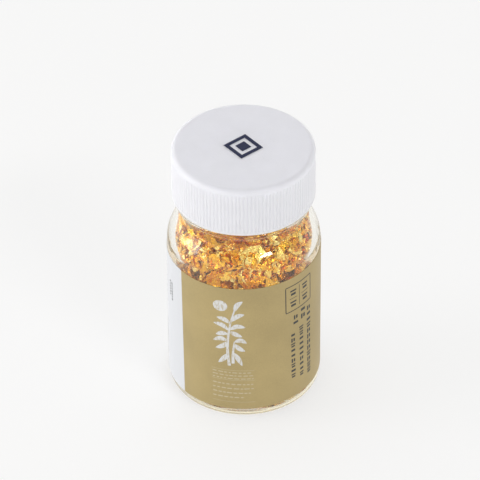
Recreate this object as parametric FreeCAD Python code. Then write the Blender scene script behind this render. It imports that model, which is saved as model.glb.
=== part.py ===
"""Screw-capped glass vial of gold-leaf flakes, in millimetres.

The origin is the centre of the base, +Z points up through the cap, and -Y is the front of the label.
Pieces: glass bottle, wrap-round label, bed of flakes, sealing liner, ribbed screw cap, clear cap sticker.
"""

import FreeCAD
import Part

import math
import os

Vec = FreeCAD.Vector
UP = Vec(0, 0, 1)
FULL_TURN = 360.0

# ---- Bottle: outside
BODY_DIAMETER = 40.0
BODY_HEIGHT = 46.0  # base to the start of the shoulder
HEEL_RADIUS = 2.5
SHOULDER_RADIUS = 10.0
NECK_DIAMETER = 32.0  # plain glass between the threads
NECK_BLEND_RADIUS = 3.0  # hollow curve where the shoulder meets the neck
NECK_STEM = 4.4  # plain neck between the shoulder and the bead
BEAD_REACH = 1.9  # how far the bead stands out of the neck
BEAD_HEIGHT = 2.0
FINISH_HEIGHT = 12.6  # top of the bead to the rim
RIM_ROUND = 0.6

# ---- Bottle: inside
WALL = 2.1
NECK_WALL = 2.2
BORE_BLEND_RADIUS = 2.6  # where the shoulder's inside turns up into the neck's bore
BASE_THICKNESS = 3.2
INNER_HEEL_RADIUS = 4.0
PUSH_UP = 1.3  # rise of the hollow under the base
STAND_RING_WIDTH = 3.2  # flat ring that the vial stands on

# ---- Screw thread, right-handed, shared by the glass and the cap
PITCH = 4.0
THREAD_TURNS = 1.25
THREAD_FADE = 40.0  # degrees over which each end runs out
THREAD_DEPTH = 1.0
GLASS_THREAD_ROOT = 2.1  # width of the glass ridge where it leaves the neck
GLASS_THREAD_CREST = 0.8
CAP_THREAD_ROOT = 1.3
CAP_THREAD_CREST = 0.6
THREAD_SINK = 0.3  # how deep a ridge's foot is buried in the wall behind it
THREAD_TOP_DROP = 2.4  # rim down to the middle of the highest stretch of glass ridge
THREAD_RADIAL_GAP = 0.25  # crest of one ridge to the wall of the other piece
THREAD_FLANK_GAP = 0.15  # axial gap between the two loaded flanks
SECTION_STEP = 15.0  # degrees between thread cross-sections

# ---- Cap
CAP_WALL = 1.35  # to the crest of the ribs
CAP_TOP_THICKNESS = 1.2
CAP_EDGE_ROUND = 1.3
CAP_SKIRT_GAP = 0.6  # skirt's foot above the bead
RIB_COUNT = 120
RIB_DEPTH = 0.14
RIB_GROOVE_SHARE = 0.55  # groove's share of one rib pitch
RIB_TOP_BAND = 0.5  # plain band between the rounded edge and the ribs
RIB_FOOT_BAND = 0.8  # plain band at the skirt's foot
SKIRT_LEAD_IN = 0.4
LINER_LIP_REACH = 0.35  # lip that keeps the liner in the cap
LINER_LIP_HEIGHT = 0.6

# ---- Liner
LINER_THICKNESS = 1.0
LINER_EDGE_GAP = 0.15  # liner's edge to the cap's wall
SEAT_GAP = 0.04  # liner to the rim, and cap to the liner

# ---- Label
LABEL_THICKNESS = 0.1
GLUE_LINE = 0.02
LABEL_TOP_MARGIN = 1.6  # below the start of the shoulder
LABEL_FOOT_MARGIN = 1.0  # above the heel
LABEL_OPEN_GAP = 6.0  # bare glass between the two ends, at the back
LABEL_SKEW = 1.0  # degrees that the hand-applied sheet climbs from left to right

# ---- Cap sticker
STICKER_SIDE = 15.0
STICKER_THICKNESS = 0.08
STICKER_CORNER = 0.5
STICKER_TURN = -5.8  # degrees about +Z

# ---- Bed of flakes
FLAKE_WALL_GAP = 0.25
FLAKE_FILL = 2.1  # the bed's middle above the foot of the neck's bore
FLAKE_CROWN = 2.2  # rise of the bed's middle above its edge at the widest glass

# ---- Worked out from the above
body_r = BODY_DIAMETER / 2
neck_r = NECK_DIAMETER / 2
bead_r = neck_r + BEAD_REACH
mouth_r = neck_r - NECK_WALL
inner_r = body_r - WALL
shoulder_centre = Vec(body_r - SHOULDER_RADIUS, 0, BODY_HEIGHT)


def arc_height(radius, reach):
    """Height at which an arc about the shoulder's centre has come in to a given distance from the axis."""
    inset = max(-radius, min(radius, reach - shoulder_centre.x))
    return math.sqrt(radius**2 - inset**2)


shoulder_top = BODY_HEIGHT + arc_height(SHOULDER_RADIUS, neck_r)
bead_foot = shoulder_top + NECK_STEM
bead_top = bead_foot + BEAD_HEIGHT
rim_z = bead_top + FINISH_HEIGHT
inner_shoulder_r = SHOULDER_RADIUS - WALL
bore_foot = BODY_HEIGHT + arc_height(inner_shoulder_r, mouth_r)
inner_floor = PUSH_UP + BASE_THICKNESS

thread_crest_r = neck_r + THREAD_DEPTH
cap_inner_r = thread_crest_r + THREAD_RADIAL_GAP
cap_crest_r = neck_r + THREAD_RADIAL_GAP
cap_r = cap_inner_r + CAP_WALL
skirt_foot = bead_top + CAP_SKIRT_GAP
liner_foot = rim_z + SEAT_GAP
cap_ceiling = liner_foot + LINER_THICKNESS + SEAT_GAP
cap_top = cap_ceiling + CAP_TOP_THICKNESS

label_r = body_r + GLUE_LINE
label_foot = HEEL_RADIUS + LABEL_FOOT_MARGIN
label_top = BODY_HEIGHT - LABEL_TOP_MARGIN


def xz(radius, height):
    """A point of a turned profile."""
    return Vec(radius, 0, height)


def on_arc(centre, radius, degrees):
    """A point of an arc in the profile's plane, 0 degrees pointing away from the axis and 90 up."""
    turn = math.radians(degrees)
    return centre + Vec(radius * math.cos(turn), 0, radius * math.sin(turn))


def line(a, b):
    return Part.LineSegment(a, b).toShape()


def arc(a, b, c):
    return Part.Arc(a, b, c).toShape()


def turned(edges):
    """The solid that a closed profile in the XZ plane sweeps about the Z axis."""
    face = Part.Face(Part.Wire(edges))
    solid = face.revolve(Vec(0, 0, 0), UP, FULL_TURN)
    return Part.Solid(solid.Shells[0]) if solid.ShapeType != "Solid" else solid


def cylinder(radius, foot, top):
    return Part.makeCylinder(radius, top - foot, Vec(0, 0, foot))


def rounded(shape, radius, height, blend):
    """The shape with its circular edge at this radius and height rounded."""
    near = 1e-4
    picked = [
        edge
        for edge in shape.Edges
        if not edge.Degenerated
        and isinstance(edge.Curve, Part.Circle)
        and abs(edge.Curve.Radius - radius) < near
        and abs(edge.Curve.Center.z - height) < near
    ]
    return shape.makeFillet(blend, picked)


def thread_section(turn, foot_r, crest_r, middle, root, crest, depth_share):
    """One four-sided cross-section of a ridge, standing at an angle about the axis."""
    tip_r = foot_r + (crest_r - foot_r) * depth_share
    corners = [
        (foot_r, -root / 2),
        (tip_r, -crest / 2),
        (tip_r, crest / 2),
        (foot_r, root / 2),
    ]
    c, s = math.cos(turn), math.sin(turn)
    points = [Vec(r * c, r * s, middle + dz) for r, dz in corners]
    return Part.makePolygon(points + points[:1])


def thread_ridge(foot_r, crest_r, low_z, root, crest, least_share):
    """A right-handed helical ridge whose two ends run out towards its foot."""
    sweep = FULL_TURN * THREAD_TURNS
    steps = int(round(sweep / SECTION_STEP))
    sections = []
    for i in range(steps + 1):
        degrees = sweep * i / steps
        from_end = min(degrees, sweep - degrees)
        share = least_share + (1 - least_share) * min(1.0, from_end / THREAD_FADE)
        middle = low_z + PITCH * degrees / FULL_TURN
        sections.append(
            thread_section(math.radians(degrees), foot_r, crest_r, middle, root, crest, share)
        )
    return Part.makeLoft(sections, True, False)


def bottle_blank():
    """The turned glass: body, shoulder, neck, bead and rim, hollow right through to the mouth."""
    heel = xz(body_r - HEEL_RADIUS, HEEL_RADIUS)
    ring_inner = body_r - HEEL_RADIUS - STAND_RING_WIDTH
    foot_turn = math.degrees(math.asin((shoulder_top - BODY_HEIGHT) / SHOULDER_RADIUS))
    outside = turned(
        [
            line(xz(0, PUSH_UP), xz(0, rim_z)),
            line(xz(0, rim_z), xz(neck_r, rim_z)),
            line(xz(neck_r, rim_z), xz(neck_r, bead_top)),
            line(xz(neck_r, bead_top), xz(bead_r - BEAD_HEIGHT / 2, bead_top)),
            arc(
                xz(bead_r - BEAD_HEIGHT / 2, bead_top),
                xz(bead_r, bead_foot + BEAD_HEIGHT / 2),
                xz(bead_r - BEAD_HEIGHT / 2, bead_foot),
            ),
            line(xz(bead_r - BEAD_HEIGHT / 2, bead_foot), xz(neck_r, bead_foot)),
            line(xz(neck_r, bead_foot), xz(neck_r, shoulder_top)),
            arc(
                xz(neck_r, shoulder_top),
                on_arc(shoulder_centre, SHOULDER_RADIUS, foot_turn / 2),
                xz(body_r, BODY_HEIGHT),
            ),
            line(xz(body_r, BODY_HEIGHT), xz(body_r, HEEL_RADIUS)),
            arc(xz(body_r, HEEL_RADIUS), on_arc(heel, HEEL_RADIUS, -45), xz(heel.x, 0)),
            line(xz(heel.x, 0), xz(ring_inner, 0)),
            arc(xz(ring_inner, 0), dish_point(ring_inner, PUSH_UP), xz(0, PUSH_UP)),
        ]
    )
    outside = rounded(outside, neck_r, shoulder_top, NECK_BLEND_RADIUS)
    outside = rounded(outside, neck_r, rim_z, RIM_ROUND)
    return outside.cut(hollow(0, rim_z))


def dome_radius(reach, rise):
    """Radius of the sphere whose cap rises this much over a circle of this reach."""
    return (reach**2 + rise**2) / (2 * rise)


def dish_point(reach, rise):
    """The point half-way out on a shallow dome."""
    sphere_r = dome_radius(reach, rise)
    return xz(reach / 2, rise - sphere_r + math.sqrt(sphere_r**2 - (reach / 2) ** 2))


def hollow(inset, top):
    """The space inside the glass, held off it by an inset, up to a height in the mouth's bore."""
    wall_r = inner_r - inset
    floor = inner_floor + inset
    heel_r = INNER_HEEL_RADIUS - inset
    heel = xz(wall_r - heel_r, floor + heel_r)
    arc_r = inner_shoulder_r - inset
    bore_r = mouth_r - inset
    foot = BODY_HEIGHT + arc_height(arc_r, bore_r)
    foot_turn = math.degrees(math.asin((foot - BODY_HEIGHT) / arc_r))
    space = turned(
        [
            line(xz(0, floor), xz(heel.x, floor)),
            arc(xz(heel.x, floor), on_arc(heel, heel_r, -45), xz(wall_r, heel.z)),
            line(xz(wall_r, heel.z), xz(wall_r, BODY_HEIGHT)),
            arc(
                xz(wall_r, BODY_HEIGHT),
                on_arc(shoulder_centre, arc_r, foot_turn / 2),
                xz(bore_r, foot),
            ),
            line(xz(bore_r, foot), xz(bore_r, top)),
            line(xz(bore_r, top), xz(0, top)),
            line(xz(0, top), xz(0, floor)),
        ]
    )
    return rounded(space, bore_r, foot, BORE_BLEND_RADIUS + inset)


def bottle():
    climb = PITCH * THREAD_TURNS
    low_z = rim_z - THREAD_TOP_DROP - climb
    ridge = thread_ridge(
        neck_r - THREAD_SINK, thread_crest_r, low_z, GLASS_THREAD_ROOT, GLASS_THREAD_CREST, 0.3
    )
    return bottle_blank().fuse(ridge).removeSplitter()


def on_circle(radius, turn):
    return Vec(radius * math.cos(turn), radius * math.sin(turn), 0)


def ribbed_outline():
    """The cap's plan outline: rounded grooves with a narrow crest of the full radius between them."""
    pitch = 2 * math.pi / RIB_COUNT
    half_groove = pitch * RIB_GROOVE_SHARE / 2
    edges = []
    for i in range(RIB_COUNT):
        middle = i * pitch
        start = on_circle(cap_r, middle - half_groove)
        deepest = on_circle(cap_r - RIB_DEPTH, middle)
        end = on_circle(cap_r, middle + half_groove)
        crown = on_circle(cap_r, middle + pitch / 2)
        next_start = on_circle(cap_r, middle + pitch - half_groove)
        edges += [arc(start, deepest, end), arc(end, crown, next_start)]
    return Part.Wire(edges)


def rib_grooves():
    """A collar that fits round the cap and fills its grooves, to be cut away from a plain cap."""
    around = Part.Face(Part.Wire(Part.makeCircle(cap_r + RIB_DEPTH)))
    collar = around.cut(Part.Face(ribbed_outline()))
    low = skirt_foot + RIB_FOOT_BAND
    high = cap_top - CAP_EDGE_ROUND - RIB_TOP_BAND
    collar.translate(Vec(0, 0, low))
    return collar.extrude(Vec(0, 0, high - low))


def screw_cap():
    shell = cylinder(cap_r, skirt_foot, cap_top)
    shell = rounded(shell, cap_r, cap_top, CAP_EDGE_ROUND)
    shell = shell.cut(cylinder(cap_inner_r, skirt_foot, cap_ceiling))
    mouth = cap_inner_r + SKIRT_LEAD_IN
    lead = Part.makeCone(mouth, cap_inner_r, SKIRT_LEAD_IN, Vec(0, 0, skirt_foot))
    shell = shell.cut(lead).cut(rib_grooves())
    lip_top = liner_foot - SEAT_GAP
    lip_in = cap_inner_r - LINER_LIP_REACH
    lip = turned(
        [
            line(xz(cap_inner_r + THREAD_SINK, lip_top), xz(lip_in, lip_top)),
            line(xz(lip_in, lip_top), xz(cap_inner_r, lip_top - LINER_LIP_HEIGHT)),
            line(
                xz(cap_inner_r, lip_top - LINER_LIP_HEIGHT),
                xz(cap_inner_r + THREAD_SINK, lip_top - LINER_LIP_HEIGHT),
            ),
            line(
                xz(cap_inner_r + THREAD_SINK, lip_top - LINER_LIP_HEIGHT),
                xz(cap_inner_r + THREAD_SINK, lip_top),
            ),
        ]
    )
    # the cap's ridge lies under the glass ridge, so that its upper flank bears when the cap is tight
    glass_low = rim_z - THREAD_TOP_DROP - PITCH * THREAD_TURNS
    flank_reach = flank_half_width()
    low_z = glass_low - flank_reach - THREAD_FLANK_GAP
    ridge = thread_ridge(
        cap_inner_r + THREAD_SINK, cap_crest_r, low_z, CAP_THREAD_ROOT, CAP_THREAD_CREST, 0.3
    )
    return shell.fuse([lip, ridge]).removeSplitter()


def flank_half_width():
    """Axial distance between the middles of the two ridges at which their facing flanks just touch."""
    widest = 0.0
    for r in (cap_crest_r, thread_crest_r):
        glass = ridge_width(
            r, neck_r - THREAD_SINK, thread_crest_r, GLASS_THREAD_ROOT, GLASS_THREAD_CREST
        )
        cap = ridge_width(
            r, cap_inner_r + THREAD_SINK, cap_crest_r, CAP_THREAD_ROOT, CAP_THREAD_CREST
        )
        widest = max(widest, (glass + cap) / 2)
    return widest


def ridge_width(r, foot_r, crest_r, root, crest):
    """Axial width of a ridge at a distance from the axis."""
    share = (r - foot_r) / (crest_r - foot_r)
    return root + (crest - root) * share


def cap_liner():
    return cylinder(cap_inner_r - LINER_EDGE_GAP, liner_foot, liner_foot + LINER_THICKNESS)


def label_face(radius, length, height):
    """The skewed rectangular sheet as a face of a cylinder, centred on the front."""
    surface = Part.Cylinder()
    surface.Radius = radius
    skew = math.radians(LABEL_SKEW)
    middle_z = (label_foot + label_top) / 2
    corners = []
    for along, up in ((-1, -1), (1, -1), (1, 1), (-1, 1)):
        x, y = along * length / 2, up * height / 2
        across = x * math.cos(skew) - y * math.sin(skew)
        rise = x * math.sin(skew) + y * math.cos(skew)
        corners.append(
            FreeCAD.Base.Vector2d(math.pi + across / radius, middle_z + rise)
        )
    edges = []
    for a, b in zip(corners, corners[1:] + corners[:1]):
        edges.append(Part.Geom2d.Line2dSegment(a, b).toShape(surface))
    return surface, Part.Wire(edges)


def wrap_label():
    """The paper sheet, a skin of even thickness between two cylinders."""
    length = 2 * math.pi * label_r - LABEL_OPEN_GAP
    height = label_top - label_foot
    surface, wire = label_face(label_r, length, height)
    face = Part.Face(surface, wire)
    face.validate()
    sheet = face.makeOffsetShape(LABEL_THICKNESS, 1e-4, fill=True)
    sheet.rotate(Vec(0, 0, 0), UP, 90)
    return sheet


def cap_sticker():
    side = STICKER_SIDE
    film = Part.makeBox(
        side, side, STICKER_THICKNESS, Vec(-side / 2, -side / 2, cap_top)
    )
    upright = [e for e in film.Edges if abs(e.Length - STICKER_THICKNESS) < 1e-6]
    film = film.makeFillet(STICKER_CORNER, upright)
    film.rotate(Vec(0, 0, 0), UP, STICKER_TURN)
    return film


def gold_flakes():
    """The bed of flakes as one closed solid that follows the glass, with a gently crowned top."""
    crown_z = bore_foot + FLAKE_FILL
    sphere_r = dome_radius(inner_r, FLAKE_CROWN)
    dome = Part.makeSphere(sphere_r, Vec(0, 0, crown_z - sphere_r))
    return hollow(FLAKE_WALL_GAP, rim_z).common(dome)


PIECES = {
    "bottle": bottle,
    "wrap_label": wrap_label,
    "gold_flakes": gold_flakes,
    "cap_liner": cap_liner,
    "screw_cap": screw_cap,
    "cap_sticker": cap_sticker,
}


def main():
    os.makedirs("parts", exist_ok=True)
    for name, make in PIECES.items():
        shape = make()
        solids = shape.Solids
        if len(solids) != 1 or not solids[0].isValid() or solids[0].Volume <= 0:
            raise RuntimeError(
                f"{name} is not one valid solid: {len(solids)} solids, valid {shape.isValid()}"
            )
        solids[0].exportStep(f"parts/{name}.step")
        box = shape.BoundBox
        print(f"{name}: {solids[0].Volume:.1f} mm3, z {box.ZMin:.2f} to {box.ZMax:.2f}")
    print(f"overall height {cap_top + STICKER_THICKNESS:.2f}, cap diameter {2 * cap_r:.2f}")


main()
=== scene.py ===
import math

import bpy
import numpy as np
from bpy.props import FloatProperty, FloatVectorProperty, IntProperty, PointerProperty
from mathutils import Matrix, Vector, noise
from mathutils.bvhtree import BVHTree


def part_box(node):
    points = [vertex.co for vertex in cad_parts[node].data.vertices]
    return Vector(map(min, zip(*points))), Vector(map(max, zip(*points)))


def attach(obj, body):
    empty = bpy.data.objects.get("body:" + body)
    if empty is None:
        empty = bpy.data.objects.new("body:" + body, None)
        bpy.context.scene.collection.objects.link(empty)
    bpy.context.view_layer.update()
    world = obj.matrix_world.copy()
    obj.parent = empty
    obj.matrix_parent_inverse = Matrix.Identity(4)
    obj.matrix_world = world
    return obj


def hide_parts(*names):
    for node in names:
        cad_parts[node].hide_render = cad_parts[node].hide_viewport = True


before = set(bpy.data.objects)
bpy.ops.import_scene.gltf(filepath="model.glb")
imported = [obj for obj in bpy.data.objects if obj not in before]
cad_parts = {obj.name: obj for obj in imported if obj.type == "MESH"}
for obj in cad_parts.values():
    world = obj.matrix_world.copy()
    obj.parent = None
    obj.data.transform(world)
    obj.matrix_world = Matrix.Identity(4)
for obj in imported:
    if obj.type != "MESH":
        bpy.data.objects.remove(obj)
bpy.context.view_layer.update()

bl_info = {
    "name": "Gold Flake Vial",
    "version": (1, 0, 0),
    "blender": (4, 5, 0),
    "location": "3D View > Sidebar > Vial",
    "description": "Finishes a screw-capped glass vial of gold-leaf flakes and sets it on a pale stage",
    "category": "Object",
}

MM = 0.001
LABEL_LOW, LABEL_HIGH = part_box("wrap_label")
LABEL_RADIUS = LABEL_HIGH.x
LABEL_MIDDLE = (LABEL_LOW.z + LABEL_HIGH.z) / 2
CAP_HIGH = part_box("screw_cap")[1]
CAP_SKIN = 1.0 * MM  # depth under the cap's outside that counts as its outer face
FILM_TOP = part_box("cap_sticker")[1].z
FILM_LIFT = 0.01 * MM  # keeps the film's underside clear of the cap's top
PRINT_LIFT = 0.01 * MM  # keeps the print clear of what it lies on
UP = Vector((0, 0, 1))
GLASS_DENSITY = 65.0  # how fast the glass's own tint builds up along a metre of it


# ---- Sizes and colours that a user may change


def length(name, description, default):
    return FloatProperty(name=name, description=description, default=default, unit="LENGTH", precision=5)


def colour(name, description, default):
    return FloatVectorProperty(
        name=name, description=description, default=default, subtype="COLOR", size=3, min=0, max=1
    )


class VialSizes(bpy.types.PropertyGroup):
    """Lengths are in metres, like the frame."""

    flake_count: IntProperty(
        name="Flakes", description="Number of separate scraps of leaf", default=8000, min=100
    )
    flake_size: length("Flake size", "Width of a middling flake", 2.1 * MM)
    flake_layer: length("Flake layer", "Depth of the layer of separate flakes inside the glass", 3.0 * MM)
    glass_gap: length("Glass gap", "Least distance of a flake from the glass", 0.12 * MM)
    label_skew: FloatProperty(
        name="Label skew", description="Climb of the label from left to right",
        default=math.radians(1.0), subtype="ANGLE",
    )
    gold_left: length("Gold's left edge", "Start of the gold, along the label from its front", -18.6 * MM)
    gold_right: length("Gold's right edge", "End of the gold, along the label from its front", 39.5 * MM)
    ink: length("Ink thickness", "Thickness of the raised print", 0.016 * MM)
    mark: length("Cap mark", "Width of the navy mark on the cap's sticker", 10.2 * MM)
    sticker_turn: FloatProperty(
        name="Sticker turn", description="Turn of the hand-applied sticker about the cap's axis",
        default=math.radians(-5.8), subtype="ANGLE",
    )


class VialColours(bpy.types.PropertyGroup):
    gold_print: colour("Gold print", "Satin gold ink of the label", (0.430, 0.330, 0.145))
    paper: colour("Paper", "White panel of the label", (0.69, 0.70, 0.725))
    white_ink: colour("White ink", "Emblem, brushed on", (0.70, 0.70, 0.69))
    faint_ink: colour("Faint ink", "Small print and rules under the emblem", (0.56, 0.48, 0.31))
    grey_ink: colour("Grey ink", "Frame and small print", (0.055, 0.055, 0.052))
    navy_ink: colour("Navy ink", "Mark on the cap's sticker", (0.006, 0.012, 0.058))
    cap: colour("Cap", "White moulded plastic", (0.785, 0.785, 0.82))
    leaf: colour("Gold leaf", "Middling colour of the flakes", (1.0, 0.58, 0.05))
    leaf_pale: colour("Pale leaf", "Lightest flakes", (1.0, 0.84, 0.32))
    leaf_deep: colour("Deep leaf", "Darkest flakes", (0.76, 0.29, 0.010))
    glass: colour("Glass", "Faint tint of the glass", (0.985, 0.978, 0.955))
    glass_body: colour("Glass body", "Tint that long ways through the glass pick up", (0.90, 0.87, 0.76))
    floor: colour("Floor", "Pale table top", (0.985, 0.985, 0.983))
    # Painted glow: colour of the emission on the label's inner face, standing in for daylight through the
    # paper
    glow: colour("Glow", "Daylight that comes through the label to its inner face", (0.62, 0.54, 0.40))


def share(name, description, default):
    return FloatProperty(
        name=name, description=description, default=default, min=0, soft_max=2, subtype="FACTOR"
    )


class VialStage(bpy.types.PropertyGroup):
    """The room's brightness is in shares of an even white room."""

    room_low: share("Room low down", "Brightness at the horizon", 1.76)
    room_high: share("Room overhead", "Brightness of the ceiling", 0.56)
    room_front: share("Room in front", "Share of that in front of the label", 0.72)
    room_back: share("Room behind", "Share of that behind the vial", 1.15)
    room_left: share("Room at the left", "Share of that at the label's left", 1.14)
    room_right: share("Room at the right", "Share of that at the label's right", 0.62)
    floor_glow: share("Floor glow", "Share of the floor's light that comes from beneath", 0.65)
    window: FloatProperty(name="Window", description="Power of the large light", default=2.4, unit="POWER")
    lamp: FloatProperty(name="Lamp", description="Power of the small light", default=1.8, unit="POWER")
    camera_rise: FloatProperty(
        name="Camera rise", description="Angle that the camera looks down by",
        default=math.radians(39.3), subtype="ANGLE",
    )
    camera_roll: FloatProperty(
        name="Camera roll", description="Tilt of the camera about its own axis",
        default=math.radians(-0.4), subtype="ANGLE",
    )
    camera_distance: length("Camera distance", "From the middle of the view", 1.1)
    camera_lens: FloatProperty(
        name="Lens", description="Focal length in millimetres", default=316.8, min=10
    )


def sizes():
    return bpy.context.scene.vial_sizes


def colours():
    return bpy.context.scene.vial_colours


def stage():
    return bpy.context.scene.vial_stage


# ---- Materials


class Shader:
    """A material's node tree with short ways to add and join its nodes."""

    def __init__(self, name):
        self.material = bpy.data.materials.new(name)
        self.material.use_nodes = True
        self.tree = self.material.node_tree
        self.tree.nodes.clear()
        self.output = self.node("OutputMaterial")

    def node(self, kind, inputs=None, **settings):
        made = self.tree.nodes.new("ShaderNode" + kind)
        for key, value in settings.items():
            setattr(made, key, value)
        for key, value in (inputs or {}).items():
            self.set(made.inputs[key], value)
        return made

    def set(self, socket, value):
        if isinstance(value, bpy.types.NodeSocket):
            self.tree.links.new(value, socket)
        elif isinstance(value, bpy.types.Node):
            self.tree.links.new(value.outputs[0], socket)
        else:
            socket.default_value = value

    def math(self, operation, a, b=0.0, clamp=False):
        return self.node("Math", {0: a, 1: b}, operation=operation, use_clamp=clamp).outputs[0]

    def place(self):
        return self.node("TexCoord").outputs["Object"]

    def noise(self, scale, detail=3.0, roughness=0.5, vector=None):
        inputs = {"Vector": vector or self.place(), "Scale": scale, "Detail": detail}
        return self.node("TexNoise", {**inputs, "Roughness": roughness}).outputs["Fac"]

    def stretch(self, factor, low, high, to_low=0.0, to_high=1.0):
        inputs = {0: factor, 1: low, 2: high, 3: to_low, 4: to_high}
        return self.node("MapRange", inputs).outputs[0]

    def mix(self, factor, a, b):
        made = self.node("Mix", data_type="RGBA")
        self.set(made.inputs["Factor"], factor)
        self.set(made.inputs[6], a)
        self.set(made.inputs[7], b)
        return made.outputs[2]

    def bump(self, height, strength, distance, normal=None):
        inputs = {"Height": height, "Strength": strength, "Distance": distance}
        if normal:
            inputs["Normal"] = normal
        return self.node("Bump", inputs).outputs[0]

    def principled(self, **inputs):
        named = {key.replace("_", " "): value for key, value in inputs.items()}
        return self.node("BsdfPrincipled", named)

    def surface(self, shader):
        self.set(self.output.inputs["Surface"], shader)
        return self.material


def rgba(value):
    return (*value, 1.0)


def scaled(value, by):
    """A colour made lighter or darker."""
    return tuple(min(1.0, by * c) for c in value)


def glass_material():
    """Clear glass, faintly rippled by its mould, that lets lamps light what is in it."""
    s = Shader("clear moulded glass")
    ripple = s.noise(140.0, 2.0)
    wipe = s.noise(900.0, 4.0, 0.6)
    glass = s.principled(
        Base_Color=rgba(colours().glass),
        Roughness=s.stretch(wipe, 0.35, 0.75, 0.0, 0.02),
        IOR=1.5,
        Transmission_Weight=1.0,
        Normal=s.bump(ripple, 0.25, 0.05 * MM),
    )
    clear = s.node("BsdfTransparent", {"Color": rgba(colours().glass)})
    body = s.node("VolumeAbsorption", {"Color": rgba(colours().glass_body), "Density": GLASS_DENSITY})
    s.set(s.output.inputs["Volume"], body)
    shadow = s.node("LightPath").outputs["Is Shadow Ray"]
    return s.surface(s.node("MixShader", {0: shadow, 1: glass, 2: clear}))


def leaf_material():
    """Beaten gold: every flake has a tone of its own, with fine wrinkles."""
    s = Shader("crumpled gold leaf")
    tone = s.node("Attribute", attribute_name="tone").outputs["Fac"]
    wander = s.noise(1500.0, 3.0, 0.6)
    shade = s.math("ADD", tone, s.math("MULTIPLY", s.math("SUBTRACT", wander, 0.5), 0.5))
    low = s.mix(s.stretch(shade, 0.0, 0.5), rgba(colours().leaf_deep), rgba(colours().leaf))
    full = s.mix(s.stretch(shade, 0.5, 1.0), low, rgba(colours().leaf_pale))
    wrinkle = s.noise(4200.0, 4.0, 0.65)
    crease = s.node("TexVoronoi", {"Vector": s.place(), "Scale": 1900.0}, feature="DISTANCE_TO_EDGE")
    height = s.math("ADD", wrinkle, s.math("MULTIPLY", crease.outputs["Distance"], 1.4))
    return s.surface(
        s.principled(
            Base_Color=full,
            Metallic=1.0,
            Roughness=s.stretch(wander, 0.3, 0.7, 0.18, 0.40),
            Normal=s.bump(height, 0.55, 0.12 * MM),
        )
    )


def painted_shade_core_material():
    """The flakes that lie deeper: the same leaf, darkened with painted shade."""
    s = Shader("deep gold leaf")
    crease = s.node("TexVoronoi", {"Vector": s.place(), "Scale": 620.0})
    tone = s.node("SeparateColor", {0: crease.outputs["Color"]}).outputs[0]
    # Painted shade: the deep leaf colour darkened to stand for the shade between the outer flakes
    dark = rgba(scaled(colours().leaf_deep, 0.35))
    base = s.mix(s.stretch(tone, 0.1, 0.9), dark, rgba(colours().leaf_deep))
    height = s.math("ADD", crease.outputs["Distance"], s.noise(1500.0, 4.0, 0.6))
    return s.surface(
        s.principled(
            Base_Color=base,
            Metallic=0.9,
            Roughness=s.stretch(tone, 0.0, 1.0, 0.35, 0.6),
            Normal=s.bump(height, 0.9, 0.6 * MM),
        )
    )


def label_along(s):
    """Distance along the flat label, from the front of its middle."""
    split = s.node("SeparateXYZ", {0: s.place()})
    x, y, z = split.outputs
    turn = s.math("ARCTAN2", x, s.math("MULTIPLY", y, -1.0))
    across = s.math("MULTIPLY", turn, LABEL_RADIUS)
    rise = s.math("SUBTRACT", z, LABEL_MIDDLE)
    c, k = math.cos(sizes().label_skew), math.sin(sizes().label_skew)
    return s.math("ADD", s.math("MULTIPLY", across, c), s.math("MULTIPLY", rise, k))


def painted_glow_inside_cap(s):
    """1 on the faces inside the cap, which get a painted glow that stands in for daylight through its thin
    wall, and 0 elsewhere.
    """
    x, y, z = s.node("SeparateXYZ", {0: s.place()}).outputs
    square = s.math("ADD", s.math("MULTIPLY", x, x), s.math("MULTIPLY", y, y))
    reach = CAP_HIGH.x - CAP_SKIN
    within = s.math("LESS_THAN", square, reach * reach)
    return s.math("MULTIPLY", within, s.math("LESS_THAN", z, CAP_HIGH.z - CAP_SKIN))


def painted_glow_face(s):
    """1 on the label's inner face, which gets a painted glow that stands in for daylight through the
    paper, and 0 elsewhere.
    """
    outward = s.node("VectorMath", {0: s.place(), 1: (1, 1, 0)}, operation="MULTIPLY")
    facing = s.node("NewGeometry").outputs["True Normal"]
    along = s.node("VectorMath", {0: outward, 1: facing}, operation="DOT_PRODUCT")
    return s.math("LESS_THAN", along.outputs["Value"], -0.25 * LABEL_RADIUS)


def label_material():
    """Coated paper, white at the back and printed in satin gold round the front, with a painted glow on
    its inner face.
    """
    s = Shader("gold printed label paper")
    along = label_along(s)
    printed = s.math(
        "MULTIPLY",
        s.math("GREATER_THAN", along, sizes().gold_left),
        s.math("LESS_THAN", along, sizes().gold_right),
    )
    grain = s.noise(5200.0, 3.0, 0.7)
    cloud = s.noise(60.0, 3.0, 0.5)
    speck = s.stretch(grain, 0.3, 0.7, -0.5, 0.5)
    drift = s.stretch(cloud, 0.3, 0.7, -0.5, 0.5)
    light = rgba(scaled(colours().gold_print, 1.17))
    dark = rgba(scaled(colours().gold_print, 0.83))
    vary = s.math("ADD", s.math("MULTIPLY", speck, 0.75), s.math("MULTIPLY", drift, 0.5))
    gold = s.mix(s.math("ADD", vary, 0.5, clamp=True), dark, light)
    off = rgba(scaled(colours().paper, 0.97))
    white = s.mix(s.stretch(grain, 0.3, 0.7), off, rgba(colours().paper))
    fibre = s.noise(2600.0, 5.0, 0.7)
    back = painted_glow_face(s)
    front = s.mix(printed, white, gold)
    return s.surface(
        s.principled(
            Base_Color=s.mix(back, front, rgba(colours().paper)),
            Metallic=s.math("MULTIPLY", s.math("SUBTRACT", printed, back, clamp=True), 0.18),
            Roughness=s.stretch(grain, 0.2, 0.8, 0.40, 0.56),
            # Painted glow: the inner face emits the glow colour, standing in for daylight through the
            # paper
            Emission_Color=rgba(colours().glow),
            Emission_Strength=back,
            Normal=s.bump(fibre, 0.25, 0.02 * MM),
        )
    )


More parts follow.
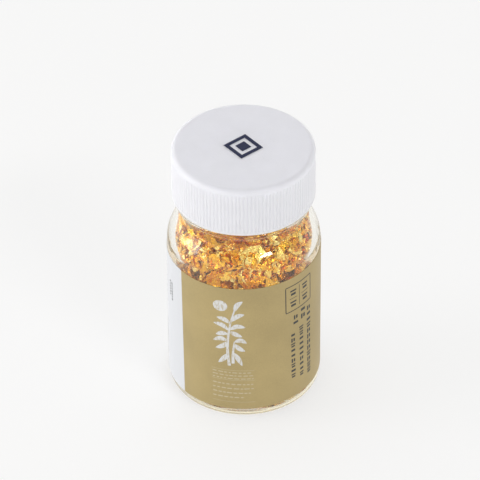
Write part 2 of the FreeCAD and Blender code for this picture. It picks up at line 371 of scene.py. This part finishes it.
def ink_material(name, ink, ground=None):
    """Printed ink that lets a little of the paper's grain through, or a dry brush's streaks of ground."""
    s = Shader(name)
    grain = s.noise(4200.0, 3.0, 0.7)
    thin = tuple(min(1.0, 0.92 * c + 0.02) for c in ink)
    tone = s.mix(s.stretch(grain, 0.35, 0.7), rgba(ink), rgba(thin))
    if ground:
        stretched = s.node("Mapping", {0: s.place(), "Scale": (1.0, 1.0, 0.3)})
        dry = s.noise(2200.0, 4.0, 0.7, stretched.outputs[0])
        tone = s.mix(s.stretch(dry, 0.50, 0.66, 0.0, 0.75), tone, rgba(ground))
    return s.surface(
        s.principled(
            Base_Color=tone,
            Roughness=s.stretch(grain, 0.2, 0.8, 0.37, 0.53),
            Specular_IOR_Level=0.25,
            Normal=s.bump(grain, 0.2, 0.01 * MM),
        )
    )


def cap_material():
    """White polypropylene with a fine mould texture, a little light passing into it, and a painted glow on
    its inside faces.
    """
    s = Shader("white moulded polypropylene")
    mottle = s.noise(220.0, 3.0, 0.55)
    grain = s.noise(3200.0, 3.0, 0.6)
    duller = rgba(scaled(colours().cap, 0.975))
    return s.surface(
        s.principled(
            Base_Color=s.mix(s.stretch(mottle, 0.3, 0.7), duller, rgba(colours().cap)),
            Roughness=s.stretch(grain, 0.2, 0.8, 0.36, 0.48),
            Subsurface_Weight=0.75,
            Subsurface_Radius=(1.0, 1.0, 1.0),
            Subsurface_Scale=1.6 * MM,
            # Painted glow: the inside faces emit the cap colour, standing in for daylight through the thin
            # wall
            Emission_Color=rgba(colours().cap),
            Emission_Strength=s.math("MULTIPLY", painted_glow_inside_cap(s), 0.6),
            Normal=s.bump(grain, 0.3, 0.012 * MM, s.bump(mottle, 0.15, 0.06 * MM)),
        )
    )


def liner_material():
    """Soft foamed sheet with tiny open cells, given an even painted glow."""
    s = Shader("foamed white liner")
    cells = s.node("TexVoronoi", {"Vector": s.place(), "Scale": 2400.0}).outputs["Distance"]
    return s.surface(
        s.principled(
            Base_Color=s.mix(s.stretch(cells, 0.0, 0.6), (0.80, 0.80, 0.78, 1), (0.88, 0.88, 0.86, 1)),
            Roughness=s.stretch(cells, 0.0, 0.6, 0.6, 0.8),
            # Painted glow: the liner emits its own colour so that the dim inside of the cap looks lit
            Emission_Color=(0.80, 0.80, 0.78, 1),
            Emission_Strength=0.5,
            Normal=s.bump(cells, 0.4, 0.05 * MM),
        )
    )


def film_material():
    """Clear self-adhesive film: little more than its gloss shows."""
    s = Shader("clear gloss film")
    ripple = s.noise(260.0, 2.0)
    gloss = s.node(
        "BsdfGlossy",
        {
            "Color": (0.9, 0.9, 0.92, 1),
            "Roughness": s.stretch(ripple, 0.3, 0.7, 0.1, 0.18),
            "Normal": s.bump(ripple, 0.2, 0.02 * MM),
        },
    )
    clear = s.node("BsdfTransparent")
    rim = s.node("LayerWeight", {"Blend": 0.06}).outputs["Fresnel"]
    outside = s.math("SUBTRACT", 1.0, s.node("NewGeometry").outputs["Backfacing"])
    return s.surface(s.node("MixShader", {0: s.math("MULTIPLY", rim, outside), 1: clear, 2: gloss}))


def floor_material():
    """A matt table top, lit a little from beneath so that shadows stay faint."""
    s = Shader("pale matt table top")
    cloud = s.noise(9.0, 3.0)
    glow = stage().floor_glow
    bright = scaled(colours().floor, 1 - glow)
    shade = scaled(bright, 0.985)
    return s.surface(
        s.principled(
            Base_Color=s.mix(s.stretch(cloud, 0.3, 0.7), rgba(shade), rgba(bright)),
            Roughness=0.75,
            Specular_IOR_Level=0.2,
            Emission_Color=rgba(colours().floor),
            Emission_Strength=glow,
        )
    )


# ---- Meshes


def mesh_object(name, verts, faces, material, smooth=False):
    mesh = bpy.data.meshes.new(name)
    mesh.from_pydata([tuple(v) for v in verts], [], [tuple(f) for f in faces])
    mesh.validate()
    mesh.update()
    mesh.materials.append(material)
    mesh.polygons.foreach_set("use_smooth", [smooth] * len(mesh.polygons))
    made = bpy.data.objects.new(name, mesh)
    bpy.context.scene.collection.objects.link(made)
    return made


def finish_node(node, material):
    """Gives a carried-over CAD node its finished material."""
    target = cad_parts[node]
    target.data.materials.clear()
    target.data.materials.append(material)
    return target


# ---- Flat print, drawn in millimetres and wrapped on the label or laid on the sticker


BAR_STEP = 1.2  # longest flat stretch of a bar that follows the label's curve
DISC_STEPS = 14
BRUSH_STEPS = 10  # points between two of a stroke's own
RING_JOIN = 1e-6  # ends closer than this make a closed band
PRINT_SEED = 7


class Print:
    """Flat inked shapes, each a strip between two rows of points."""

    def __init__(self):
        self.strips = []

    def strip(self, low, high):
        self.strips.append((low, high))

    def bar(self, u, v, width, height, turn=0.0):
        """A solid rectangle about its centre, cut across so that it can follow the glass."""
        count = max(1, math.ceil(width / BAR_STEP))
        c, k = math.cos(turn), math.sin(turn)
        low, high = [], []
        for i in range(count + 1):
            x = width * (i / count - 0.5)
            low.append((u + x * c + height / 2 * k, v + x * k - height / 2 * c))
            high.append((u + x * c - height / 2 * k, v + x * k + height / 2 * c))
        self.strip(low, high)

    def line(self, a, b, width):
        span = math.dist(a, b)
        turn = math.atan2(b[1] - a[1], b[0] - a[0])
        self.bar((a[0] + b[0]) / 2, (a[1] + b[1]) / 2, span, width, turn)

    def frame(self, u, v, width, height, thick):
        x, y = width / 2, height / 2
        self.line((u - x, v + y), (u + x, v + y), thick)
        self.line((u - x, v - y), (u + x, v - y), thick)
        self.line((u - x, v - y + thick / 2), (u - x, v + y - thick / 2), thick)
        self.line((u + x, v - y + thick / 2), (u + x, v + y - thick / 2), thick)

    def ring(self, radius, thick, sides):
        """A closed band with this many sides, about the middle."""
        inner, outer = [], []
        for i in range(sides + 1):
            c, k = math.cos(math.tau * i / sides), math.sin(math.tau * i / sides)
            inner.append(((radius - thick) * c, (radius - thick) * k))
            outer.append((radius * c, radius * k))
        self.strip(inner, outer)

    def disc(self, u, v, radius, squeeze):
        low, high = [], []
        for i in range(DISC_STEPS + 1):
            a = math.pi * i / DISC_STEPS
            x = -radius * math.cos(a)
            y = radius * squeeze * math.sin(a)
            low.append((u + x, v - y))
            high.append((u + x, v + y))
        self.strip(low, high)

    def brush(self, points, width, profile):
        """A brush stroke through its points, as wide at each place as the profile says."""
        path = smooth_path([Vector((*p, 0)) for p in points], BRUSH_STEPS)
        left, right = [], []
        for i, p in enumerate(path):
            ahead = path[min(i + 1, len(path) - 1)] - path[max(i - 1, 0)]
            side = Vector((-ahead.y, ahead.x, 0)).normalized()
            half = width / 2 * profile(i / (len(path) - 1))
            left.append((p.x + side.x * half, p.y + side.y * half))
            right.append((p.x - side.x * half, p.y - side.y * half))
        self.strip(right, left)

    def shift(self, u, v, squeeze):
        """Narrows every shape and then moves it."""

        def moved(points):
            return [(x * squeeze + u, y + v) for x, y in points]

        self.strips = [(moved(low), moved(high)) for low, high in self.strips]

    def build(self, name, material, lay, thickness):
        """One closed thin piece; lay turns flat u, v and a height into a place."""
        verts, faces = [], []
        for low, high in self.strips:
            ring = math.dist(low[0], low[-1]) < RING_JOIN
            if ring:
                low, high = low[:-1], high[:-1]
            first, count = len(verts), len(low)
            for lift in (0.0, thickness):
                verts += [lay(u, v, lift) for u, v in (*low, *high)]
            a0, b0, a1, b1 = (first + count * k for k in range(4))
            last = count - 1
            for i in range(count if ring else last):
                j = (i + 1) % count
                faces.append((a1 + i, a1 + j, b1 + j, b1 + i))
                faces.append((a0 + i, b0 + i, b0 + j, a0 + j))
                faces.append((a0 + i, a0 + j, a1 + j, a1 + i))
                faces.append((b0 + i, b1 + i, b1 + j, b0 + j))
            if not ring:
                faces.append((a0, a1, b1, b0))
                faces.append((a0 + last, b0 + last, b1 + last, a1 + last))
        return mesh_object(name, verts, faces, material)


def smooth_path(points, steps):
    """Points along a smooth curve through the given ones."""
    ends = [points[0] * 2 - points[1], *points, points[-1] * 2 - points[-2]]
    path = []
    for a, b, c, d in zip(ends, ends[1:], ends[2:], ends[3:]):
        for i in range(steps):
            t = i / steps
            path.append(
                0.5 * (2 * b + (c - a) * t + (2 * a - 5 * b + 4 * c - d) * t * t
                       + (3 * b - a - 3 * c + d) * t**3)
            )
    path.append(points[-1])
    return path


def on_label(u, v, lift):
    """The place on the wrapped label of a point in millimetres from the front of its middle."""
    c, k = math.cos(sizes().label_skew), math.sin(sizes().label_skew)
    across, rise = (u * c - v * k) * MM, (u * k + v * c) * MM
    turn = across / LABEL_RADIUS
    radius = LABEL_RADIUS + PRINT_LIFT + lift
    return Vector((radius * math.sin(turn), -radius * math.cos(turn), LABEL_MIDDLE + rise))


def on_cap(u, v, lift):
    """The place on the cap's sticker, in the sticker's own turned square."""
    turn = sizes().sticker_turn
    x, y = u * MM, v * MM
    c, k = math.cos(turn), math.sin(turn)
    return Vector((x * c - y * k, x * k + y * c, FILM_TOP + PRINT_LIFT + lift))


def lifted_film(sticker):
    """The sticker's film with its underside a hair clear of the cap, so that the two faces don't meet."""
    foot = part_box("cap_sticker")[0].z + FILM_LIFT
    verts = [Vector((v.co.x, v.co.y, max(v.co.z, foot))) for v in sticker.data.vertices]
    faces = [tuple(p.vertices) for p in sticker.data.polygons]
    return mesh_object("clear_film_square", verts, faces, film_material())


def dash_rows(ink, u, top, width, rows, pitch, height, rng):
    """Rows of short dashes that stand for small print, the last row cut short."""
    for row in range(rows):
        v = top - pitch * row
        x = u - width / 2
        end = u + width / 2
        if row == rows - 1:
            end -= rng.uniform(0, 0.35) * width
        while x < end - 0.4:
            w = min(rng.uniform(0.5, 1.5), end - x)
            ink.bar(x + w / 2, v, w, height)
            x += w + rng.uniform(0.25, 0.5)


def block_column(ink, u, top, bottom, size, rng):
    """A column of small blocks that stands for a line of upright print."""
    v = top
    while v - size > bottom:
        w = size * rng.uniform(0.75, 1.0)
        shape = rng.integers(0, 3)
        if shape == 0:
            ink.bar(u, v - 0.16 * size, w, 0.26 * size)
            ink.bar(u, v - 0.66 * size, 0.85 * w, 0.32 * size)
        elif shape == 1:
            ink.bar(u - 0.24 * size, v - 0.43 * size, 0.28 * size, 0.82 * size)
            ink.bar(u + 0.22 * size, v - 0.43 * size, 0.32 * size, 0.64 * size)
        else:
            ink.bar(u, v - 0.43 * size, w, 0.44 * size)
        v -= size * 1.1


def stalk_width(along):
    return 1.0 - 0.55 * along


def leaf_width(along):
    return math.sin(math.pi * along) ** 0.75


def emblem(ink):
    """A sprig of bamboo under a full moon, in brush strokes."""
    ink.disc(-2.3, 9.0, 2.05, 0.86)
    stems = (
        ((-0.2, -11.0), (-0.55, -6.0), (-0.25, -1.0), (0.6, 4.0), (1.9, 8.6)),
        ((0.9, -10.2), (0.95, -6.4), (1.5, -2.6)),
    )
    for points in stems:
        ink.brush(points, 0.9, stalk_width)
    leaves = (
        ((0.1, 1.2), (2.2, 2.5), (4.6, 2.2)),
        ((0.0, 1.0), (-1.9, 2.6), (-4.4, 2.9)),
        ((0.5, 4.0), (2.4, 5.9), (4.4, 6.6)),
        ((1.6, 7.4), (2.4, 9.6), (4.0, 11.0)),
        ((0.4, 3.4), (-1.2, 4.6), (-3.4, 5.0)),
        ((-0.4, -2.6), (-2.4, -2.0), (-4.6, -3.0)),
        ((-0.4, -2.8), (-1.8, -4.4), (-4.0, -5.6)),
        ((1.4, -2.8), (3.1, -2.2), (4.8, -3.2)),
        ((1.3, -3.4), (2.6, -4.9), (4.3, -5.9)),
        ((0.1, 0.6), (1.7, -0.1), (3.6, -1.0)),
        ((-0.3, -0.2), (-2.0, -0.2), (-3.8, -0.9)),
        ((-0.4, -6.8), (-1.6, -8.6), (-3.3, -10.4)),
        ((1.0, -6.4), (2.3, -8.4), (3.4, -10.9)),
    )
    for points in leaves:
        ink.brush(points, 1.45, leaf_width)
    ink.shift(-3.95, 5.4, 0.95)


def small_print(ink, rng):
    """The faint block of lines between rules under the emblem."""
    middle = -3.3
    for v in (-7.2, -10.6, -18.1):
        ink.bar(middle, v, 11.4, 0.09)
    dash_rows(ink, middle, -8.0, 11.0, 3, 1.02, 0.3, rng)
    dash_rows(ink, middle, -12.0, 11.0, 4, 1.5, 0.34, rng)


def boxed_words(ink, u, v):
    """A square frame divided in four, with a pair of thick dashes in each part."""
    ink.frame(u, v, 9.1, 8.5, 0.26)
    ink.line((u, v - 3.3), (u, v + 3.4), 0.15)
    for x in (-2.1, 2.1):
        ink.bar(u + x, v, 2.6, 0.15)
        for y in (-1.9, 1.9):
            ink.bar(u + x, v + y + 0.62, 2.0, 0.5)
            ink.bar(u + x, v + y - 0.5, 1.6, 0.72)


def side_print(ink, rng):
    """Everything in grey: the box and columns at the right, and the lines on the white panels."""
    boxed_words(ink, 16.1, 13.5)
    columns = (
        (14.7, 7.4, 2.6, 1.7),
        (17.4, 8.6, 3.2, 2.0),
        (13.7, 1.6, -15.8, 1.6),
        (16.7, 2.4, -16.4, 1.6),
        (19.8, 7.4, -16.4, 1.8),
        (-24.0, 12.7, 6.2, 0.8),
        (-25.3, 12.7, 7.4, 0.8),
    )
    for u, top, bottom, size in columns:
        block_column(ink, u, top, bottom, size, rng)
    table = -40.0
    dash_rows(ink, table, 14.5, 17.0, 11, 1.7, 0.5, rng)
    ink.frame(table, -10.5, 18.0, 12.0, 0.15)
    for v in (-6.5, -10.5, -14.5):
        ink.bar(table, v, 17.8, 0.1)
    dash_rows(ink, table, -8.5, 14.0, 2, 4.0, 0.6, rng)
    dash_rows(ink, 49.0, 12.0, 12.0, 14, 1.9, 0.55, rng)


def cap_mark(ink, half):
    """A plain diamond inside a diamond frame."""
    ink.ring(half, 0.30 * half, 4)
    ink.bar(0, 0, 0.58 * half, 0.58 * half, math.radians(45))


# ---- Flakes


FLAKE_SEED = 20
FLAKE_SIDE = 4  # points along each side of a flake's sheet
FLAKE_POINTS = FLAKE_SIDE * FLAKE_SIDE
FLAKE_TILT = 0.5
HIDDEN_SHARE = 0.12  # share of the flakes that is enough where the label hides them
HIDDEN_LOW, HIDDEN_HIGH = LABEL_LOW.z + 3 * MM, LABEL_HIGH.z - 4 * MM
OPEN_BACK = math.radians(16)  # half the turn round the back in which flakes show past the label
PROFILE_STEPS = 240
CORE_DEPTH = 0.72  # the core's depth, in shares of the layer of separate flakes
CORE_ROWS, CORE_COLUMNS = 60, 120
CORE_LUMP = 0.45 * MM


def inner_profile():
    """Radius of the hollow at each height, and the height of its floor, measured in the glass itself."""
    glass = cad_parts["bottle"]
    tree = BVHTree.FromPolygons(
        [v.co for v in glass.data.vertices], [p.vertices for p in glass.data.polygons]
    )
    low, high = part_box("bottle")
    floor = tree.ray_cast(Vector((0, 0, LABEL_MIDDLE)), -UP)[0].z
    heights = np.linspace(floor + 0.05 * MM, high.z - 0.5 * MM, PROFILE_STEPS)
    radii = [tree.ray_cast(Vector((0, 0, z)), Vector((1, 0, 0)))[3] for z in heights]
    return heights, np.array(radii), floor


def seeds(rng, count, bed):
    """Places and outward directions on the bed's skin, thickest where the label doesn't hide them."""
    verts = np.array([v.co for v in bed.data.vertices])
    bed.data.calc_loop_triangles()
    tris = np.array([t.vertices for t in bed.data.loop_triangles])
    a, b, c = verts[tris[:, 0]], verts[tris[:, 1]], verts[tris[:, 2]]
    cross = np.cross(b - a, c - a)
    area = np.linalg.norm(cross, axis=1) / 2
    normal = cross / np.maximum(np.linalg.norm(cross, axis=1), 1e-15)[:, None]
    middle = (a + b + c) / 3
    hidden = (middle[:, 2] > HIDDEN_LOW) & (middle[:, 2] < HIDDEN_HIGH)
    behind = np.abs(np.arctan2(middle[:, 0], middle[:, 1])) < OPEN_BACK
    weight = area * np.where(hidden & ~behind, HIDDEN_SHARE, 1.0)
    picked = rng.choice(len(tris), count, p=weight / weight.sum())
    s = np.sqrt(rng.random(count))[:, None]
    t = rng.random(count)[:, None]
    place = (1 - s) * a[picked] + s * (1 - t) * b[picked] + s * t * c[picked]
    return place, normal[picked]


def flake_shapes(rng, count, size):
    """Crumpled scraps in their own axes: a torn, folded square sheet of points each."""
    grid = np.linspace(-0.5, 0.5, FLAKE_SIDE)
    u, v = (g.ravel() for g in np.meshgrid(grid, grid))
    u = u + rng.normal(0, 0.09, (count, FLAKE_POINTS))
    v = v + rng.normal(0, 0.09, (count, FLAKE_POINTS))
    corner = (np.abs(u) > 0.35) & (np.abs(v) > 0.35)
    pull = np.where(corner, rng.uniform(0.45, 1.0, (count, FLAKE_POINTS)), 1.0)
    across = size * np.exp(rng.normal(0, 0.45, (count, 1)))
    ratio = rng.uniform(0.5, 1.0, (count, 1))
    u, v = u * pull * across, v * pull * across * ratio
    w = np.zeros_like(u)
    for sharpness in (0.55, 0.4, 0.3):
        turn = rng.uniform(0, math.tau, (count, 1))
        offset = rng.uniform(-0.3, 0.3, (count, 1)) * across
        fold = np.abs(u * np.cos(turn) + v * np.sin(turn) - offset)
        w = w + fold * rng.normal(0, sharpness, (count, 1))
    w = w + rng.normal(0, 0.05, w.shape) * across
    w = w - w.mean(axis=1, keepdims=True)
    return np.stack([u, v, w], axis=2)


def frames(rng, normal, tilt):
    """For each direction, two axes of a sheet that lies across it, tilted at random."""
    lean = normal + rng.normal(0, 1, normal.shape) * tilt
    lean /= np.linalg.norm(lean, axis=1)[:, None]
    side = np.cross(lean, rng.normal(0, 1, normal.shape))
    side /= np.linalg.norm(side, axis=1)[:, None]
    return side, np.cross(lean, side), lean


def loose_flakes():
    """The outer layer of the bed as separate crumpled flakes that stay inside the glass."""
    rng = np.random.default_rng(FLAKE_SEED)
    count = sizes().flake_count
    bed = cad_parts["gold_flakes"]
    heights, radii, floor = inner_profile()
    place, normal = seeds(rng, count, bed)
    depth = sizes().flake_layer * rng.random(count) ** 1.3
    place = place - normal * depth[:, None]
    shape = flake_shapes(rng, count, sizes().flake_size)
    side, top, lean = frames(rng, normal, FLAKE_TILT)
    points = (
        place[:, None]
        + shape[:, :, :1] * side[:, None]
        + shape[:, :, 1:2] * top[:, None]
        + shape[:, :, 2:] * lean[:, None]
    ).reshape(-1, 3)
    gap = sizes().glass_gap * (1 + rng.random(len(points)))
    points[:, 2] = np.maximum(points[:, 2], floor + gap)
    reach = np.hypot(points[:, 0], points[:, 1])
    limit = np.interp(points[:, 2], heights, radii) - gap
    points[:, :2] *= np.minimum(1.0, limit / np.maximum(reach, 1e-9))[:, None]
    cells = []
    for row in range(FLAKE_SIDE - 1):
        for column in range(FLAKE_SIDE - 1):
            a = row * FLAKE_SIDE + column
            b = a + FLAKE_SIDE
            cells += [(a, a + 1, b + 1), (a, b + 1, b)]
    faces = (np.arange(count)[:, None, None] * FLAKE_POINTS + np.array(cells)).reshape(-1, 3)
    made = mesh_object("loose_gold_flakes", points, faces.tolist(), leaf_material())
    tone = made.data.attributes.new("tone", "FLOAT", "POINT")
    tones = np.clip(rng.beta(0.9, 1.25, count), 0, 1)
    tone.data.foreach_set("value", np.repeat(tones, FLAKE_POINTS))
    return made, (heights, radii, floor)


def deep_bed(profile):
    """What shows between the outer flakes: a lumpy core in painted shade that stops light passing through
    the bed.
    """
    heights, radii, floor = profile
    inset = sizes().flake_layer * CORE_DEPTH
    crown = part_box("gold_flakes")[1].z - inset
    rows, columns = CORE_ROWS, CORE_COLUMNS
    verts, faces = [], []
    for i in range(rows + 1):
        z = floor + inset + (crown - floor - inset) * i / rows
        r = np.interp(z, heights, radii) - inset
        for j in range(columns):
            turn = math.tau * j / columns
            at = Vector((r * math.cos(turn), r * math.sin(turn), z))
            lump = noise.fractal(at * 700, 1.0, 2.0, 3) * CORE_LUMP
            verts.append(at * (1 + lump / r) if i < rows else at)
    for i in range(rows):
        for j in range(columns):
            k = (j + 1) % columns
            a, b = i * columns, (i + 1) * columns
            faces.append((a + j, a + k, b + k, b + j))
    faces.append(tuple(reversed(range(columns))))
    faces.append(tuple(rows * columns + j for j in range(columns)))
    return mesh_object("deep_gold_bed", verts, faces, painted_shade_core_material())


# ---- Operators, one for each piece or group of like pieces


class VIAL_OT_glass(bpy.types.Operator):
    """Finish the glass bottle"""

    bl_idname = "vial.glass"
    bl_label = "Glass Bottle"

    def execute(self, context):
        bottle = finish_node("bottle", glass_material())
        return {"FINISHED"}


class VIAL_OT_flakes(bpy.types.Operator):
    """Fill the bottle with crumpled gold leaf"""

    bl_idname = "vial.flakes"
    bl_label = "Gold Flakes"

    def execute(self, context):
        flakes, profile = loose_flakes()
        bed = deep_bed(profile)
        for piece in (flakes, bed):
            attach(piece, "vial")
        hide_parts("gold_flakes")
        return {"FINISHED"}


class VIAL_OT_label(bpy.types.Operator):
    """Finish the paper label and print on it"""

    bl_idname = "vial.label"
    bl_label = "Label and Print"

    def execute(self, context):
        finish_node("wrap_label", label_material())
        rng = np.random.default_rng(PRINT_SEED)
        brushed, faint, grey = Print(), Print(), Print()
        emblem(brushed)
        small_print(faint, rng)
        side_print(grey, rng)
        inks = (
            (brushed, "brush_emblem", colours().white_ink, colours().gold_print),
            (faint, "pale_small_print", colours().faint_ink, None),
            (grey, "grey_small_print", colours().grey_ink, None),
        )
        for drawing, name, ink, ground in inks:
            material = ink_material(name.replace("_", " ") + " ink", ink, ground)
            piece = drawing.build(name, material, on_label, sizes().ink)
            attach(piece, "vial")
        return {"FINISHED"}


class VIAL_OT_cap(bpy.types.Operator):
    """Finish the ribbed cap and its liner"""

    bl_idname = "vial.cap"
    bl_label = "Screw Cap"

    def execute(self, context):
        finish_node("screw_cap", cap_material())
        finish_node("cap_liner", liner_material())
        return {"FINISHED"}


class VIAL_OT_sticker(bpy.types.Operator):
    """Finish the clear sticker and print its navy mark"""

    bl_idname = "vial.sticker"
    bl_label = "Cap Sticker"

    def execute(self, context):
        film = lifted_film(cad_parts["cap_sticker"])
        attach(film, "cap")
        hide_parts("cap_sticker")
        mark = Print()
        cap_mark(mark, sizes().mark / MM / 2)
        material = ink_material("navy ink", colours().navy_ink)
        piece = mark.build("navy_cap_mark", material, on_cap, sizes().ink)
        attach(piece, "cap")
        return {"FINISHED"}


# ---- Stage


FLOOR_SIDE = 8.0
WINDOW_PLACE, WINDOW_SIZE = (-1.05, -0.05, 0.42), (0.5, 0.5)
LAMP_PLACE, LAMP_SIZE = (0.50, -0.62, 0.74), (0.30, 0.09)
LIGHT_AIM = Vector((0, 0, 50 * MM))
CAMERA_AIM = Vector((-1.0, 0, 44.4)) * MM
SENSOR_WIDTH = 36.0
NEAREST = 0.05  # what is nearer to the camera than this isn't drawn
GLASS_BOUNCES = 80  # light that runs along inside the glass needs many


def soft_light(name, place, size, power):
    """A rectangular light that faces the vial's upper half."""
    data = bpy.data.lights.new(name, "AREA")
    data.shape = "RECTANGLE"
    data.size, data.size_y = size
    data.energy = power
    lamp = bpy.data.objects.new(name, data)
    lamp.location = place
    lamp.rotation_euler = (LIGHT_AIM - Vector(place)).to_track_quat("-Z", "Y").to_euler()
    bpy.context.scene.collection.objects.link(lamp)


def pale_sky(tree):
    """A pale room, brightest low down, behind the vial and on its left, dimmer overhead."""
    ground = tree.nodes["Background"]
    split = tree.nodes.new("ShaderNodeSeparateXYZ")
    tree.links.new(tree.nodes.new("ShaderNodeTexCoord").outputs["Generated"], split.inputs[0])
    x, y, z = split.outputs
    ramps = (
        (z, 0.1, 0.75, stage().room_low, stage().room_high),
        (y, -1.0, 1.0, stage().room_front, stage().room_back),
        (x, -1.0, 1.0, stage().room_left, stage().room_right),
    )
    product = None
    for direction, *limits in ramps:
        ramp = tree.nodes.new("ShaderNodeMapRange")
        tree.links.new(direction, ramp.inputs[0])
        for socket, value in zip(ramp.inputs[1:5], limits):
            socket.default_value = value
        previous, product = product, ramp.outputs[0]
        if previous:
            times = tree.nodes.new("ShaderNodeMath")
            times.operation = "MULTIPLY"
            tree.links.new(previous, times.inputs[0])
            tree.links.new(product, times.inputs[1])
            product = times.outputs[0]
    tree.links.new(product, ground.inputs["Strength"])
    ground.inputs["Color"].default_value = (1.0, 0.998, 0.99, 1)


def aimed_camera():
    """The camera in front of the label, looking down at the middle of the vial."""
    data = bpy.data.cameras.new("camera")
    data.lens = stage().camera_lens
    data.sensor_width = SENSOR_WIDTH
    data.clip_start = NEAREST
    camera = bpy.data.objects.new("camera", data)
    rise = stage().camera_rise
    back = Vector((0, -math.cos(rise), math.sin(rise)))
    place = CAMERA_AIM + stage().camera_distance * back
    facing = (-back).to_track_quat("-Z", "Y").to_matrix().to_4x4()
    roll = Matrix.Rotation(stage().camera_roll, 4, "Z")
    camera.matrix_world = Matrix.Translation(place) @ facing @ roll
    bpy.context.scene.collection.objects.link(camera)
    return camera


class VIAL_OT_stage(bpy.types.Operator):
    """Set the pale floor, the soft light and the camera"""

    bl_idname = "vial.stage"
    bl_label = "Stage"

    def execute(self, context):
        edge = FLOOR_SIDE / 2
        corners = [(-edge, -edge, 0), (edge, -edge, 0), (edge, edge, 0), (-edge, edge, 0)]
        floor = mesh_object("floor", corners, [(0, 1, 2, 3)], floor_material())
        world = bpy.data.worlds.new("pale room")
        world.use_nodes = True
        pale_sky(world.node_tree)
        context.scene.world = world
        soft_light("window", WINDOW_PLACE, WINDOW_SIZE, stage().window)
        soft_light("lamp", LAMP_PLACE, LAMP_SIZE, stage().lamp)
        context.scene.cycles.max_bounces = GLASS_BOUNCES
        context.scene.cycles.glossy_bounces = GLASS_BOUNCES
        context.scene.cycles.transmission_bounces = GLASS_BOUNCES
        context.scene.camera = aimed_camera()
        context.scene.view_settings.view_transform = "Standard"
        return {"FINISHED"}


STEPS = (
    VIAL_OT_glass, VIAL_OT_flakes, VIAL_OT_label, VIAL_OT_cap, VIAL_OT_sticker, VIAL_OT_stage,
)


class VIAL_PT_panel(bpy.types.Panel):
    """The vial's sizes, colours and steps"""

    bl_idname = "VIAL_PT_panel"
    bl_label = "Gold Flake Vial"
    bl_space_type = "VIEW_3D"
    bl_region_type = "UI"
    bl_category = "Vial"

    def draw(self, context):
        for group in (sizes(), colours(), stage()):
            column = self.layout.column()
            for name in group.__annotations__:
                column.prop(group, name)
        for step in STEPS:
            self.layout.operator(step.bl_idname)


CLASSES = (VialSizes, VialColours, VialStage, *STEPS, VIAL_PT_panel)


def register():
    for cls in CLASSES:
        bpy.utils.register_class(cls)
    bpy.types.Scene.vial_sizes = PointerProperty(type=VialSizes)
    bpy.types.Scene.vial_colours = PointerProperty(type=VialColours)
    bpy.types.Scene.vial_stage = PointerProperty(type=VialStage)


def unregister():
    del bpy.types.Scene.vial_sizes
    del bpy.types.Scene.vial_colours
    del bpy.types.Scene.vial_stage
    for cls in reversed(CLASSES):
        bpy.utils.unregister_class(cls)


def main():
    register()
    for step in STEPS:
        group, name = step.bl_idname.split(".")
        getattr(getattr(bpy.ops, group), name)()


if __name__ == "__main__":
    main()
